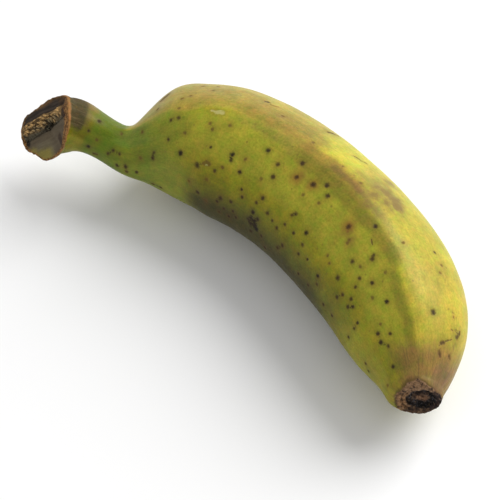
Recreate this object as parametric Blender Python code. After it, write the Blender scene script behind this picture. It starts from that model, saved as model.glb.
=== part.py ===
"""A short, plump banana, half ripe, lying on its side.

The fruit, its cut stalk and its flower scar grew as one piece, so they are one closed solid.
It lies with the stalk towards -X, the flower end towards +X and its convex back towards +Y,
and rests on a small flattened spot of its skin at Z = 0, under the middle of its outline.
"""

import math

import bmesh
import bpy
import numpy as np

MM = 0.001

# The middle line seen from above, in millimetres and degrees: a chain of arcs that starts beyond
# the far lip of the cut. Headings turn from +X towards the convex back.
BEND_START = (-79.5, -18.0)
BEND_HEADING = 52.0
BEND = (
    # length of the arc, degrees that it turns
    (15.0, 0.0),  # stub of the stalk
    (7.0, -30.0),
    (6.0, -3.0),  # neck
    (10.0, 22.0),
    (9.0, 0.0),
    (25.0, -28.0),  # shoulder
    (18.0, -13.0),
    (45.0, -23.0),  # body
    (30.0, -25.0),  # end towards the flower scar
)

# Sections across the fruit in millimetres. The swell moves skin towards the convex back.
SECTIONS = (
    # distance along the bend, height of the middle line, half width, swell
    (0.0, 22.3, 8.3, 0.0),
    (10.0, 22.3, 7.7, 0.0),  # cut
    (17.0, 22.8, 7.9, 0.5),
    (24.0, 21.5, 6.5, 0.0),
    (30.0, 20.0, 6.2, -0.5),  # narrowest place of the neck
    (36.0, 19.0, 7.5, -1.4),
    (40.0, 18.8, 10.0, 0.2),
    (48.0, 18.6, 15.6, 3.2),  # shoulder, which swells most on the back
    (55.0, 18.6, 17.5, 2.7),
    (62.0, 18.9, 18.6, 1.8),
    (70.0, 19.3, 18.8, 1.0),
    (85.0, 19.3, 18.8, 0.3),
    (100.0, 19.25, 18.8, -0.2),
    (120.0, 19.2, 18.7, -0.2),
    (140.0, 18.1, 17.2, -0.2),
    (151.0, 17.6, 14.7, -0.5),
    (158.0, 17.5, 11.5, -0.8),
    (162.0, 17.4, 9.4, -1.0),
    (165.0, 17.5, 7.8, -1.3),  # foot of the flower scar
)
WALK_STEP = 0.1  # step of the walk along the bend
THICKNESS_SHARE = 0.97  # height of a section over its width

# Long ridges of the skin. Angles run round the section in degrees, from the back over the top.
RIDGES = (
    # angle, height as a share of the radius, half width in degrees
    (12.0, 0.060, 26.0),
    (88.0, 0.085, 20.0),
    (196.0, 0.055, 25.0),
    (243.0, 0.075, 21.0),
    (301.0, 0.075, 21.0),
)
RIDGE_TURN = (
    # share of the length, degrees that the ridges have turned there
    (0.30, 2.0),
    (0.50, 0.0),
    (0.68, -5.0),
    (0.85, 0.0),
    (1.00, 12.0),
)
RIDGE_STRENGTH = (
    # share of the length, share of the full height of the ridges
    (0.00, 0.3),
    (0.15, 0.6),
    (0.25, 0.9),
    (0.35, 1.0),
    (0.85, 1.0),
    (0.95, 0.5),
    (1.00, 0.0),
)

# The cut through the stalk, which slants, with a lip round it and torn fibres across it.
CUT_DISTANCE = 9.7  # from the start of the bend to the middle of the cut
CUT_SLANT = 8.0  # the lips of the cut lie this far before and behind its middle
CUT_FACING = 126.0  # angle round the section that the cut faces
CUT_FADE = 18.0  # length of neck over which the rings turn square to the fruit
SET_BACK = (
    # angle round the section, distance by which the torn rim lies further up the neck there
    (0, 2.0),
    (20, 4.2),
    (40, 4.8),
    (55, 4.0),
    (80, 1.6),
    (105, 0.0),
    (320, 0.0),
    (340, 0.4),
)
LIP_WIDTH = 2.2
LIP_HEIGHT = 1.0
TORN_LIP = (
    # angle round the section, share of the plain radius
    (0.0, 0.97),
    (27.0, 0.96),
    (55.0, 0.97),
    (83.0, 1.02),
    (110.0, 1.08),
    (138.0, 1.10),
    (166.0, 1.03),
    (193.0, 0.84),
    (221.0, 1.02),
    (235.0, 1.02),
    (249.0, 0.83),
    (276.0, 0.94),
    (304.0, 0.98),
    (332.0, 1.07),
)
TORN_FADE = 5.0  # length of neck over which the torn outline turns plain
CUT_RINGS = (0.94, 0.84, 0.70, 0.56, 0.42, 0.28, 0.14)  # shares of the rim's radius
CUT_DISH = 0.4  # depth of the face below its rim
DISH_POWER = 4  # a higher power keeps more of the dish flat
FIBRES_FACING = 15.0  # angle round the section square to the line of torn fibres
FIBRES = (
    # place across the face as a share of its radius, half width as such a share, height
    (0.38, 0.18, 1.7),  # raised bundle of fibres
    (0.12, 0.12, -1.3),  # split beside it
)
FIBRE_POWER = 6  # a higher power carries the fibres closer to the rim

# Flower scar: radius as a share of its foot, and height over the foot.
SCAR_PROFILE = (
    (0.965, 0.8),
    (0.91, 1.5),
    (0.83, 2.1),
    (0.74, 2.3),  # rim
    (0.66, 2.1),
    (0.58, 1.8),
    (0.50, 1.3),
    (0.42, 0.5),  # hollow
    (0.33, 0.4),
    (0.25, 1.0),
    (0.15, 1.3),  # nub
)
SCAR_TIP = 1.4
SCAR_LOBES = 5
SCAR_LOBE_HEIGHT = 0.02
SCAR_OFFSET = 1.85  # the hollow lies this far from the middle of the foot
SCAR_OFFSET_FACING = 343.0  # towards this angle round the section
SCAR_OFFSET_SHARE = 0.45  # within this share of the radius the rings are moved in full

RESTING_FLAT = 0.35  # depth to which the skin is flattened where it rests

AROUND = 52
RING_STEP = 2.8
WELD = 0.03
SHARP_ANGLE = 40.0  # edges that turn more than this stay sharp

PEEL = (0.25, 0.24, 0.035, 1.0)
PEEL_ROUGHNESS = 0.45


def unit(vectors):
    return vectors / np.linalg.norm(vectors, axis=-1, keepdims=True)


def spline(knots, values, at):
    """Points and rates of the natural cubic spline through values at knots."""
    step = np.diff(knots)
    slope = np.diff(values, axis=0) / step[:, None]
    last = len(knots) - 1
    system = np.eye(last + 1)
    load = np.zeros_like(values)
    for i in range(1, last):
        system[i, i - 1 : i + 2] = step[i - 1], 2 * (step[i - 1] + step[i]), step[i]
        load[i] = 6 * (slope[i] - slope[i - 1])
    bend = np.linalg.solve(system, load)
    i = np.clip(np.searchsorted(knots, at, side="right") - 1, 0, last - 1)
    h = step[i][..., None]
    t = (at - knots[i])[..., None]
    twist = (bend[i + 1] - bend[i]) / h
    start = slope[i] - h * (2 * bend[i] + bend[i + 1]) / 6
    points = values[i] + t * (start + t * (bend[i] / 2 + t * twist / 6))
    rates = start + t * (bend[i] + t * twist / 2)
    return points, rates


def lay_stations():
    """Middle line and half widths at each section, found by walking along the bend."""
    lengths, turns = np.transpose(BEND)
    joints = np.concatenate([[0.0], np.cumsum(lengths)])
    headings = BEND_HEADING + np.concatenate([[0.0], np.cumsum(turns)])
    walked = np.arange(0.0, joints[-1] + WALK_STEP, WALK_STEP)
    heading = np.radians(np.interp(walked - WALK_STEP / 2, joints, headings))
    x = BEND_START[0] + WALK_STEP * (np.cumsum(np.cos(heading)) - np.cos(heading[0]))
    y = BEND_START[1] + WALK_STEP * (np.cumsum(np.sin(heading)) - np.sin(heading[0]))
    at, rise, half, swell = np.transpose(SECTIONS)
    along_x, along_y = np.interp(at, walked, x), np.interp(at, walked, y)
    return np.column_stack([along_x, along_y, rise, half + swell, half - swell])


STATION_TABLE = lay_stations()
STATION_GAPS = np.linalg.norm(np.diff(STATION_TABLE[:, :3], axis=0), axis=1)
KNOTS = np.concatenate([[0.0], np.cumsum(STATION_GAPS)])
LENGTH = KNOTS[-1]
ANGLES = np.linspace(0, 2 * math.pi, AROUND, endpoint=False)


def ridge_relief(distance, angle):
    """Radius of the section as a share of the plain oval's."""
    share = distance / LENGTH
    strength = np.interp(share, *np.transpose(RIDGE_STRENGTH))
    turn = np.interp(share, *np.transpose(RIDGE_TURN))
    relief = np.ones_like(angle)
    for place, height, half_width in RIDGES:
        away = (np.degrees(angle) - place - turn + 180) % 360 - 180
        relief += height * strength * np.exp(-((away / half_width) ** 2))
    return relief


def torn_lip(behind_rim, angle):
    """Share of the radius that the torn outline of the cut leaves, by distance behind the rim."""
    places, shares = np.transpose(TORN_LIP)
    torn = np.interp(np.degrees(angle), places, shares, period=360)
    return 1 + (torn - 1) * max(0.0, 1 - behind_rim / TORN_FADE) ** 2


def skin(distance, angle, lift=0.0, spread=1.0):
    """Points of the skin at distances along the fruit and angles round it.

    The radius is multiplied by spread, and lift is added to it.
    """
    values, rates = spline(KNOTS, STATION_TABLE, distance)
    forward = unit(rates[..., :3])
    back = unit(np.cross((0.0, 0.0, 1.0), forward))
    top = np.cross(forward, back)
    half_back, half_hollow = values[..., 3], values[..., 4]
    relief = ridge_relief(distance, angle) * spread
    side = np.where(np.cos(angle) > 0, half_back, half_hollow) * relief + lift
    rise = THICKNESS_SHARE * (half_back + half_hollow) / 2 * relief + lift
    across = (side * np.cos(angle))[..., None] * back
    upward = (rise * np.sin(angle))[..., None] * top
    return values[..., :3] + across + upward


def skin_rings():
    """Rings from the lip of the stalk cut, where they slant, to the foot of the flower scar."""
    lip = [CUT_DISTANCE, CUT_DISTANCE + LIP_WIDTH / 2, CUT_DISTANCE + LIP_WIDTH]
    body = np.arange(CUT_DISTANCE + RING_STEP, LENGTH - RING_STEP / 2, RING_STEP)
    rings = []
    for distance in [*lip, *body, LENGTH]:
        slant = CUT_SLANT * max(0.0, 1 - (distance - CUT_DISTANCE) / CUT_FADE)
        places = distance + slant * np.cos(ANGLES - math.radians(CUT_FACING))
        set_back = np.interp(np.degrees(ANGLES), *np.transpose(SET_BACK), period=360)
        places = places + set_back * slant / CUT_SLANT
        behind_rim = distance - CUT_DISTANCE
        lift = LIP_HEIGHT * max(0.0, 1 - (behind_rim / LIP_WIDTH) ** 2)
        rings.append(skin(places, ANGLES, lift, torn_lip(behind_rim, ANGLES)))
    return rings


def cut_rings(rim):
    """Rings and middle of the cut face, which is dished and crossed by torn fibres."""
    middle = rim.mean(axis=0)
    spokes = rim - middle
    outward = -unit(np.cross(spokes, np.roll(spokes, -1, axis=0)).sum(axis=0))

    def relief(across, share):
        height = -CUT_DISH * (1 - share**DISH_POWER)
        for place, half_width, bump in FIBRES:
            fade = 1 - share**FIBRE_POWER
            height = height + bump * fade * np.exp(-(((across - place) / half_width) ** 2))
        return height

    facing = unit(spokes.T @ np.cos(ANGLES - math.radians(FIBRES_FACING)))
    across = spokes @ facing / np.abs(spokes @ facing).max()
    rings = []
    for share in CUT_RINGS:
        height = relief(share * across, share)
        rings.append(middle + share * spokes + height[:, None] * outward)
    return rings, middle + relief(0.0, 0.0) * outward


def scar_rings(foot):
    """Rings and tip of the flower scar, a low ringed nub."""
    middle = foot.mean(axis=0)
    spokes = foot - middle
    outward = unit(np.cross(spokes, np.roll(spokes, -1, axis=0)).sum(axis=0))
    lobes = 1 + SCAR_LOBE_HEIGHT * np.cos(SCAR_LOBES * ANGLES)
    facing = unit(spokes.T @ np.cos(ANGLES - math.radians(SCAR_OFFSET_FACING)))
    rings = []
    for share, height in SCAR_PROFILE:
        moved = SCAR_OFFSET * min(1.0, (1 - share) / (1 - SCAR_OFFSET_SHARE)) * facing
        rings.append(middle + moved + share * lobes[:, None] * spokes + height * outward)
    return rings, middle + SCAR_OFFSET * facing + SCAR_TIP * outward


def add_ring(mesh, points):
    return [mesh.verts.new(point) for point in points * MM]


def fill_pole(mesh, ring, point):
    """Close a ring with a fan of faces to one point, in the ring's own order."""
    pole = mesh.verts.new(point * MM)
    for i, vertex in enumerate(ring):
        mesh.faces.new((vertex, ring[(i + 1) % AROUND], pole))


def join_rings(mesh, first, second):
    for i in range(AROUND):
        j = (i + 1) % AROUND
        mesh.faces.new((first[i], first[j], second[j], second[i]))


def flatten_rest(mesh):
    """Slice off the lowest skin, so that the fruit rests on a small flat spot."""
    floor = min(vertex.co.z for vertex in mesh.verts) + RESTING_FLAT * MM
    everything = mesh.verts[:] + mesh.edges[:] + mesh.faces[:]
    bmesh.ops.bisect_plane(
        mesh, geom=everything, plane_co=(0, 0, floor), plane_no=(0, 0, -1), clear_outer=True
    )
    open_edges = [edge for edge in mesh.edges if edge.is_boundary]
    bmesh.ops.edgeloop_fill(mesh, edges=open_edges)
    bmesh.ops.remove_doubles(mesh, verts=mesh.verts, dist=WELD * MM)


def centre_on_floor(mesh):
    """Put the middle of the outline over the origin and the flat spot on Z = 0."""
    places = np.array([vertex.co for vertex in mesh.verts])
    low, high = places.min(axis=0), places.max(axis=0)
    shift = (-(low[0] + high[0]) / 2, -(low[1] + high[1]) / 2, -low[2])
    bmesh.ops.translate(mesh, verts=mesh.verts, vec=shift)


def peel_material():
    material = bpy.data.materials.new("banana_peel")
    material.use_nodes = True
    shader = material.node_tree.nodes["Principled BSDF"]
    shader.inputs["Base Color"].default_value = PEEL
    shader.inputs["Roughness"].default_value = PEEL_ROUGHNESS
    shader.inputs["Metallic"].default_value = 0.0
    return material


def make_banana():
    rings = skin_rings()
    stalk_rings, stalk_middle = cut_rings(rings[0])
    nub_rings, nub_tip = scar_rings(rings[-1])
    rings = [*reversed(stalk_rings), *rings, *nub_rings]

    mesh = bmesh.new()
    loops = [add_ring(mesh, ring) for ring in rings]
    fill_pole(mesh, loops[0][::-1], stalk_middle)
    for first, second in zip(loops, loops[1:]):
        join_rings(mesh, first, second)
    fill_pole(mesh, loops[-1], nub_tip)
    flatten_rest(mesh)
    centre_on_floor(mesh)
    bmesh.ops.recalc_face_normals(mesh, faces=mesh.faces)

    data = bpy.data.meshes.new("banana")
    mesh.to_mesh(data)
    mesh.free()
    data.shade_smooth()
    data.set_sharp_from_angle(angle=math.radians(SHARP_ANGLE))
    data.materials.append(peel_material())
    banana = bpy.data.objects.new("banana", data)
    bpy.context.collection.objects.link(banana)
    return banana


for leftover in list(bpy.data.objects):
    bpy.data.objects.remove(leftover, do_unlink=True)
make_banana()
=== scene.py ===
# A short, plump, half ripe banana that lies on its side, seen from above.
# The fruit is drawn out straight, subdivided, bent along its middle line and then carved.

import math

import bpy
import numpy as np
from mathutils import Matrix, Vector, noise


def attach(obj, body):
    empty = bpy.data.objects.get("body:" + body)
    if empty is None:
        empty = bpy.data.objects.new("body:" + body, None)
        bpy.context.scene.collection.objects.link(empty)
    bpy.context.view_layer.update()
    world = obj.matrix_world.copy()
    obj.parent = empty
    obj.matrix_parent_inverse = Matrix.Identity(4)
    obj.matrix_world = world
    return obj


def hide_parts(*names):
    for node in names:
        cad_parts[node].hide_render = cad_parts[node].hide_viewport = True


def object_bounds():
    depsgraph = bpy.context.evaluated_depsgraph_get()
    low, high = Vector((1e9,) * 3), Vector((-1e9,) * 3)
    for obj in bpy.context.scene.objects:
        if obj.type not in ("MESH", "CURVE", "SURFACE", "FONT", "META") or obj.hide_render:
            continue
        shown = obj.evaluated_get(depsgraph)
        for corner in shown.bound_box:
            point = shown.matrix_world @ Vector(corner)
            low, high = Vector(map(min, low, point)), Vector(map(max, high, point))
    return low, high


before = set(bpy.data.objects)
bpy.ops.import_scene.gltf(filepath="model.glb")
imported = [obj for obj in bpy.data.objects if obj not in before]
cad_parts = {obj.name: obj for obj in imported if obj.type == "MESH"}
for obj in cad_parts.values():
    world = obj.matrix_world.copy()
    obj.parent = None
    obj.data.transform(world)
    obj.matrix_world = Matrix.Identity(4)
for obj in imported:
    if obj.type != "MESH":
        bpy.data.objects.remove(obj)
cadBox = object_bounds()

mm = 0.001
print("frame loaded")


# Shape of the whole fruit, in mm and degrees. Angles run round a section from the back over the top.
fruit = {
    # The middle line seen from above is a chain of arcs that starts beyond the far lip of the cut.
    "bendStart": (-79.5, -18.0),
    "bendHeading": 52.0,
    "bend": (
        # length of the arc, degrees that it turns
        (15.0, 0.0),  # stub of the stalk
        (7.0, -30.0),
        (6.0, -3.0),  # neck
        (10.0, 22.0),
        (9.0, 0.0),
        (25.0, -28.0),  # shoulder
        (18.0, -13.0),
        (45.0, -23.0),  # body
        (30.0, -25.0),  # end towards the flower scar
    ),
    # The swell moves skin towards the convex back.
    "sections": (
        # distance along the bend, height of the middle line, half width, swell
        (0.0, 22.3, 8.3, 0.0),
        (10.0, 22.3, 7.7, 0.0),  # cut
        (17.0, 22.8, 7.9, 0.5),
        (24.0, 21.5, 6.5, 0.0),
        (30.0, 20.0, 6.2, -0.5),  # narrowest place of the neck
        (36.0, 19.0, 7.5, -1.4),
        (40.0, 18.8, 10.0, 0.2),
        (48.0, 18.6, 15.6, 3.2),  # shoulder, which swells most on the back
        (55.0, 18.6, 17.5, 2.7),
        (62.0, 18.9, 18.6, 1.8),
        (70.0, 19.3, 18.8, 1.0),
        (85.0, 19.3, 18.8, 0.3),
        (100.0, 19.25, 18.8, -0.2),
        (120.0, 19.2, 18.7, -0.2),
        (140.0, 18.1, 17.2, -0.2),
        (151.0, 17.6, 14.7, -0.5),
        (158.0, 17.5, 11.5, -0.8),
        (162.0, 17.4, 9.4, -1.0),
        (165.0, 17.5, 7.8, -1.3),  # foot of the flower scar
    ),
    "walkStep": 0.1,  # the arcs are walked in steps of this length
    "thickness": 0.97,  # height of a section over its width
    # angle, height as a share of the radius, half width
    "ridges": (
        (12, 0.060, 26),
        (88, 0.085, 20),
        (196, 0.055, 25),
        (243, 0.075, 21),
        (301, 0.075, 21),
    ),
    # share of the length, degrees that the ridges have turned there
    "ridgeTurn": ((0.30, 2), (0.50, 0), (0.68, -5), (0.85, 0), (1.00, 12)),
    # share of the length, share of the ridges' full height
    "ridgeStrength": ((0, 0.3), (0.15, 0.6), (0.25, 0.9), (0.35, 1), (0.85, 1), (0.95, 0.5), (1, 0)),
    "restingFlat": 0.35,  # the skin is flattened by this much where it rests
    "around": 52,  # faces round the rough form
    "ringStep": 2.0,
    "subdivisions": 2,
}

# The slanting cut through the stalk, in mm and degrees.
cut = {
    "distance": 9.7,  # from the start of the bend to the middle of the cut
    "slant": 8.0,
    "facing": 126,
    "fade": 18.0,  # length of neck over which the rings turn square to it
    # angle, distance by which the torn rim lies further up the neck there
    "setBack": ((0, 2.0), (20, 4.2), (40, 4.8), (55, 4.0), (80, 1.6), (105, 0), (320, 0), (340, 0.4)),
    "lipWidth": 2.2,
    "lipHeight": 1.0,
    # angle, share of the plain radius that the torn outline leaves
    "tornLip": (
        (0, 0.97), (27, 0.96), (55, 0.97), (83, 1.02), (110, 1.08), (138, 1.10), (166, 1.03),
        (193, 0.84), (221, 1.02), (235, 1.02), (249, 0.83), (276, 0.94), (304, 0.98), (332, 1.07),
    ),
    "tornFade": 5.0,  # length over which the torn outline evens out
    "dish": 0.4,  # depth of the face below its rim
    "fibresFacing": 15,
    "rings": 12,
}

# The flower scar, in mm: radius as a share of its foot, and height over the foot.
scar = {
    "profile": (
        (1.00, 0.0), (0.965, 0.8), (0.91, 1.5), (0.83, 2.1), (0.74, 2.3), (0.66, 2.1), (0.58, 1.8),
        (0.50, 1.3), (0.42, 0.5), (0.33, 0.4), (0.25, 1.0), (0.15, 1.3), (0.0, 1.4),
    ),
    "lobes": 5,
    "lobeHeight": 0.02,
    "offset": 1.85,  # the hollow lies this far from the middle of the foot
    "offsetFacing": 343,
    "offsetShare": 0.45,
    # angle, share of the foot's radius where the peel ends and the dry scar starts
    "outline": (
        (0, 0.86), (40, 0.80), (70, 0.88), (90, 0.98), (110, 0.94), (135, 0.82), (160, 0.76),
        (185, 0.74), (205, 0.75), (225, 0.82), (250, 0.93), (280, 0.98), (310, 0.97), (340, 0.90),
    ),
    "rings": 18,
}


def splineAt(knots, values, at):
    # points and rates of the natural cubic spline through the values
    step = np.diff(knots)
    slope = np.diff(values, axis=0) / step[:, None]
    last = len(knots) - 1
    system = np.eye(last + 1)
    load = np.zeros_like(values)
    for i in range(1, last):
        system[i, i - 1 : i + 2] = step[i - 1], 2 * (step[i - 1] + step[i]), step[i]
        load[i] = 6 * (slope[i] - slope[i - 1])
    bend = np.linalg.solve(system, load)
    i = np.clip(np.searchsorted(knots, at, side="right") - 1, 0, last - 1)
    h = step[i][..., None]
    t = (at - knots[i])[..., None]
    twist = (bend[i + 1] - bend[i]) / h
    start = slope[i] - h * (2 * bend[i] + bend[i + 1]) / 6
    points = values[i] + t * (start + t * (bend[i] / 2 + t * twist / 6))
    return points, start + t * (bend[i] + t * twist / 2)


def unit(vectors):
    return vectors / np.linalg.norm(vectors, axis=-1, keepdims=True)


def layStations():
    # middle line and half widths at each section, found by walking along the bend
    lengths, turns = np.transpose(fruit["bend"])
    joints = np.append(0, np.cumsum(lengths))
    headings = fruit["bendHeading"] + np.append(0, np.cumsum(turns))
    step = fruit["walkStep"]
    walked = np.arange(0, joints[-1] + step, step)
    heading = np.radians(np.interp(walked - step / 2, joints, headings))
    x = fruit["bendStart"][0] + step * (np.cumsum(np.cos(heading)) - np.cos(heading[0]))
    y = fruit["bendStart"][1] + step * (np.cumsum(np.sin(heading)) - np.sin(heading[0]))
    at, rise, half, swell = np.transpose(fruit["sections"])
    alongX = np.interp(at, walked, x)
    alongY = np.interp(at, walked, y)
    return np.column_stack([alongX, alongY, rise, half + swell, half - swell])


stations = layStations()
knots = np.append(0, np.cumsum(np.linalg.norm(np.diff(stations[:, :3], axis=0), axis=1)))
wholeLength = knots[-1]
skinLength = wholeLength - cut["distance"]


def skinAt(behindRim, angle):
    # points of the smooth skin, by distance behind the rim of the cut and by angle
    fade = np.clip(1 - behindRim / cut["fade"], 0, None)
    slant = cut["slant"] * np.cos(angle - math.radians(cut["facing"]))
    setBack = np.interp(np.degrees(angle), *np.transpose(cut["setBack"]), period=360)
    distance = cut["distance"] + behindRim + fade * (slant + setBack)
    values, rates = splineAt(knots, stations, distance)
    forward = unit(rates[..., :3])
    back = unit(np.cross((0.0, 0.0, 1.0), forward))
    top = np.cross(forward, back)
    share = distance / wholeLength
    strength = np.interp(share, *np.transpose(fruit["ridgeStrength"]))
    turn = np.interp(share, *np.transpose(fruit["ridgeTurn"]))
    relief = np.ones_like(angle)
    for place, height, halfWidth in fruit["ridges"]:
        away = (np.degrees(angle) - place - turn + 180) % 360 - 180
        relief = relief + height * strength * np.exp(-((away / halfWidth) ** 2))
    torn = np.interp(np.degrees(angle), *np.transpose(cut["tornLip"]), period=360)
    relief = relief * (1 + (torn - 1) * np.clip(1 - behindRim / cut["tornFade"], 0, None) ** 2)
    lift = cut["lipHeight"] * np.clip(1 - (behindRim / cut["lipWidth"]) ** 2, 0, None)
    toBack = values[..., 3]
    toHollow = values[..., 4]
    side = np.where(np.cos(angle) > 0, toBack, toHollow) * relief + lift
    rise = fruit["thickness"] * (toBack + toHollow) / 2 * relief + lift
    across = (side * np.cos(angle))[..., None] * back
    return values[..., :3] + across + (rise * np.sin(angle))[..., None] * top


# The straight form: heights below 0 are the cut face, and heights past the skin's length the scar.
straight = {
    "endReach": 8.0,  # height that each end takes in the straight form
    "tipShare": 0.08,  # radius of the smallest ring at each end, as a share of the end's
    "plainRadius": 15.0,
}


def straightProfile():
    steps = int(skinLength / fruit["ringStep"])
    profile = []
    for share in np.linspace(straight["tipShare"], 1, cut["rings"], endpoint=False):
        profile.append((-straight["endReach"] * (1 - share), share * straight["plainRadius"]))
    for height in np.linspace(0, skinLength, steps + 1):
        profile.append((height, straight["plainRadius"]))
    for share in np.linspace(1, straight["tipShare"], scar["rings"] + 1)[1:]:
        height = skinLength + straight["endReach"] * (1 - share)
        profile.append((height, share * straight["plainRadius"]))
    return profile


def drawOutFruit():
    profile = straightProfile()
    height, radius = profile[0]
    bpy.ops.object.select_all(action="DESELECT")
    bpy.ops.mesh.primitive_circle_add(
        vertices=fruit["around"], radius=radius * mm, location=(0, 0, height * mm)
    )
    piece = bpy.context.object
    bpy.ops.object.transform_apply(location=True, rotation=True, scale=True)
    bpy.ops.object.mode_set(mode="EDIT")
    bpy.ops.mesh.select_all(action="SELECT")
    for nextHeight, nextRadius in profile[1:]:
        rise = (0, 0, (nextHeight - height) * mm)
        bpy.ops.mesh.extrude_region_move(TRANSFORM_OT_translate={"value": rise})
        grow = nextRadius / radius
        if grow != 1:
            bpy.ops.transform.resize(value=(grow, grow, 1), center_override=(0, 0, nextHeight * mm))
        height, radius = nextHeight, nextRadius
    # each end is closed by a face, poked to meet in a point
    for end in ("scar", "cut"):
        bpy.ops.mesh.edge_face_add()
        bpy.ops.mesh.poke()
        bpy.ops.mesh.select_all(action="DESELECT")
        if end == "scar":
            bpy.ops.mesh.select_non_manifold()
    bpy.ops.mesh.select_all(action="SELECT")
    bpy.ops.mesh.normals_make_consistent(inside=False)
    bpy.ops.object.mode_set(mode="OBJECT")
    divide = piece.modifiers.new("divide", "SUBSURF")
    divide.subdivision_type = "SIMPLE"
    divide.levels = fruit["subdivisions"]
    divide.render_levels = fruit["subdivisions"]
    bpy.ops.object.modifier_apply(modifier=divide.name)
    bpy.ops.object.shade_smooth()
    return piece


def readPlaces(mesh):
    places = np.empty(len(mesh.vertices) * 3)
    mesh.vertices.foreach_get("co", places)
    return places.reshape(-1, 3) / mm


def writePlaces(mesh, places):
    mesh.vertices.foreach_set("co", (places * mm).ravel())
    mesh.update()


banana = drawOutFruit()
banana.name = "bananaFruit"
banana.data.name = "bananaFruit"
plain = readPlaces(banana.data)
height = plain[:, 2]
angle = np.arctan2(plain[:, 1], plain[:, 0]) % (2 * math.pi)
degrees = np.degrees(angle)
print("straight form:", len(plain), "points,", len(banana.data.polygons), "faces")


# Each point belongs to the cut face, the skin or the scar.
edge = 1e-6 * skinLength
onCut = height < -edge
onScar = height > skinLength + edge
onSkin = ~(onCut | onScar)
endShare = np.ones_like(height)
endShare[onCut] = 1 + height[onCut] / straight["endReach"]
endShare[onScar] = 1 - (height[onScar] - skinLength) / straight["endReach"]
allRound = np.linspace(0, 2 * math.pi, 360, endpoint=False)


def endFrame(behindRim, direction):
    # middle of a ring of the skin, and the direction square to it
    ring = skinAt(np.full_like(allRound, behindRim), allRound)
    middle = ring.mean(axis=0)
    spokes = ring - middle
    normal = unit(np.cross(spokes, np.roll(spokes, -1, axis=0)).sum(axis=0))
    return middle, spokes, direction * normal


def bentPlaces():
    places = np.zeros_like(plain)
    places[onSkin] = skinAt(height[onSkin], angle[onSkin])

    middle, spokes, outward = endFrame(0.0, -1)
    rim = skinAt(np.zeros(onCut.sum()), angle[onCut]) - middle
    share = endShare[onCut][:, None]
    places[onCut] = middle + share * rim - cut["dish"] * (1 - share**4) * outward

    middle, spokes, outward = endFrame(skinLength, 1)
    foot = skinAt(np.full(onScar.sum(), skinLength), angle[onScar]) - middle
    along = (1 - endShare[onScar]) * (len(scar["profile"]) - 1)
    index = np.arange(len(scar["profile"]), dtype=float)
    shares, heights = splineAt(index, np.array(scar["profile"]), along)[0].T
    lobes = 1 + scar["lobeHeight"] * np.cos(scar["lobes"] * angle[onScar]) * np.minimum(along, 1)
    facing = unit(spokes.T @ np.cos(allRound - math.radians(scar["offsetFacing"])))
    moved = scar["offset"] * np.minimum(1, (1 - shares) / (1 - scar["offsetShare"]))
    places[onScar] = middle + moved[:, None] * facing + (shares * lobes)[:, None] * foot
    places[onScar] += heights[:, None] * outward
    scarShare[onScar] = shares
    return places


scarShare = np.ones_like(height)  # distance from the middle of the scar over its foot's radius
places = bentPlaces()

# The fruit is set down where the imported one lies.
low, high = places.min(axis=0), places.max(axis=0)
cadMiddle = (np.array(cadBox[0]) + np.array(cadBox[1])) / 2 / mm
shift = cadMiddle - (low + high) / 2
shift[2] = cadBox[0].z / mm - low[2] - fruit["restingFlat"]
places = places + shift
writePlaces(banana.data, places)
print("fruit bent, shift", shift.round(2))


# Fine relief of the peel, in mm.
relief = {
    "swellSize": 16.0,  # slow unevenness of the peel
    "swellHeight": 0.30,
    "swellStretch": 1.6,
    "dentSize": 5.0,
    "dentHeight": 0.07,
    "smoothNeck": (6, 20),  # unevenness starts and is full at these distances behind the cut
    "smoothTip": (12, 2),  # and fades between these distances before the scar
    "collarLength": 9.0,  # shrunken peel behind the cut
    "wrinkleSize": 1.5,
    "wrinkleStretch": 6,
    "wrinkleHeight": 0.16,
    "wrinklesFull": 1.5,  # they fade from here to the collar's end
    "tipWrinkleSize": 2.0,
    "tipWrinkleStretch": 5,
    "tipWrinkleHeight": 0.08,
    "tipWrinkles": (14, 3),  # they grow between these distances before the scar
    "ragSize": 1.3,  # torn edge of the lip
    "ragHeight": 0.35,
    "ragReach": (0.2, 1.6),  # from the rim: ragged up to the first, even from the second on
}

# Features of the cut face: across is square to the fibres and along runs with them, in mm.
face = {
    "fibreLean": 0.13,
    "fibreMiddle": 3.2,  # the bundle of fibres crosses the face here
    "fibreHalfWidth": 2.1,  # at its thick end, and less by the taper for each mm along
    "fibreTaper": 0.05,
    "fibreThickEnd": 12,  # place along where its width is measured
    "fibreThinEnd": (-9, -6),  # the bundle starts between these places along
    "fibreHeight": 1.0,
    "crumbSize": 0.85,
    "crumbStretch": 1.5,
    "crumbHeight": 0.9,
    "strayHeight": 0.4,  # crumbs between the bundle and the split
    "strayMiddle": 1.4,
    "strayReach": (0.8, 2.0),
    "splitMiddle": 0.5,  # the dark split beside the bundle
    "splitHalfWidth": 0.6,
    "splitDepth": 0.9,
    "pit": (2.4, 11.6),  # across, along
    "pitRadius": 1.4,
    "pitDepth": 0.8,
    "layerSize": 0.8,
    "layerStretch": 7,
    "layerHeight": 0.22,
    "layerStart": (0.5, 2.0),
}

# Roughness of the scar, in mm, and its combed ridges: shares of its foot's radius, and degrees.
scarRelief = {
    "roughSize": 1.5,
    "roughHeight": 0.35,
    "fineSize": 0.6,
    "fineHeight": 0.2,
    "combSpacing": 0.13,
    "combWander": 0.04,
    "combHeight": 0.32,
    "combRound": (130, 232, 20),
    "combReach": (0.42, 0.80, 0.08),
    "stepHeight": 0.15,  # low step where the scar starts
    "stepRise": (0.75, 0.9),
    "stepFall": (0.94, 1.02),
    "outlineWander": 0.03,
    "outlineSize": 1.5,
    "peelReach": 8,  # mm of peel that count as one more radius
}


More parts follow.
